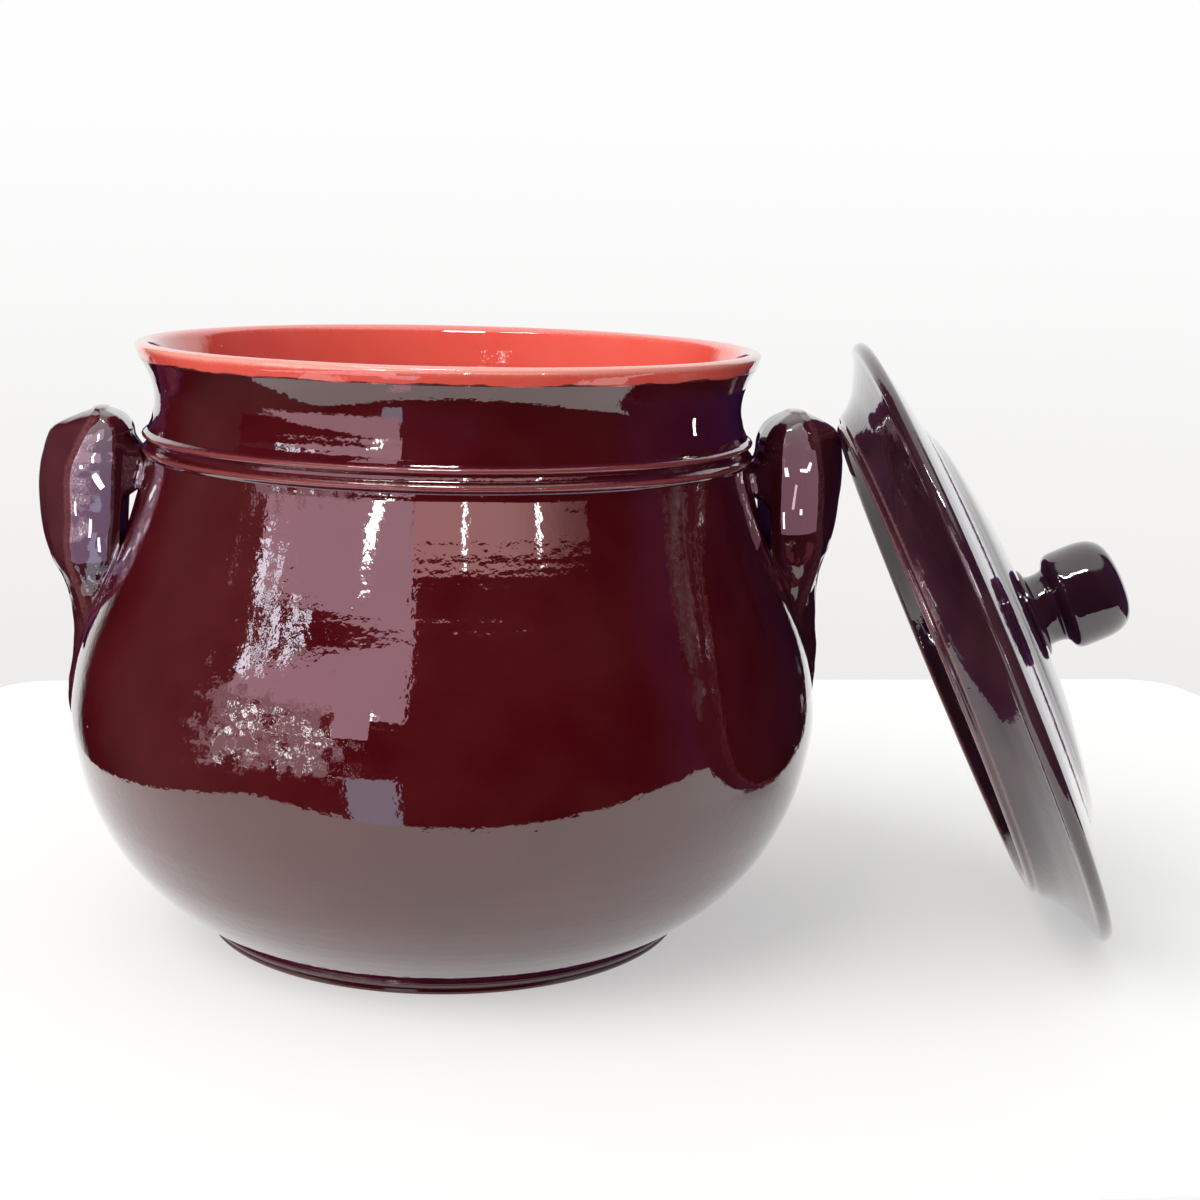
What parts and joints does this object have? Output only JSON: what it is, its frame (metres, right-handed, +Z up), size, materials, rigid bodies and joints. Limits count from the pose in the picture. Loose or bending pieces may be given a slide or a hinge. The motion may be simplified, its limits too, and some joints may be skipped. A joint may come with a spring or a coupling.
{
  "type": "lidded cooking pot",
  "caption": "Round-bellied glazed terracotta cooking pot with a flared red rim, two ear handles and a domed lid with a knob that leans on one handle.",
  "frame": {"origin": "centre of the flat unglazed base on the table", "axes": "+Z up along the pot's axis, +X towards the right handle and the leaning lid, -Y towards the viewer"},
  "size_m": [0.4277, 0.2922, 0.2335],
  "materials": {
    "pot_body": "matt fired terracotta, bare under the foot",
    "outer_glaze": "glossy dark brown glaze",
    "inner_glaze": "glossy coral red glaze",
    "handle_left": "glossy dark brown glaze, redder on the ridges",
    "handle_right": "glossy dark brown glaze, redder on the ridges",
    "lid_plate": "glossy dark brown glaze, breaking to terracotta on the flange's edge",
    "lid_knob": "glossy dark brown glaze"
  },
  "bodies": {
    "pot": {"pot_body": "pot_body", "outer_glaze": "outer_glaze", "inner_glaze": "inner_glaze", "handle_left": "handle_left", "handle_right": "handle_right"},
    "lid": {"lid_plate": "lid_plate", "lid_knob": "lid_knob"}
  },
  "joints": [
    {"name": "lid_lift", "type": "slide", "parent": "pot", "child": "lid", "axis": [0, 0, 1], "range_m": [0, 0.25]}
  ]
}
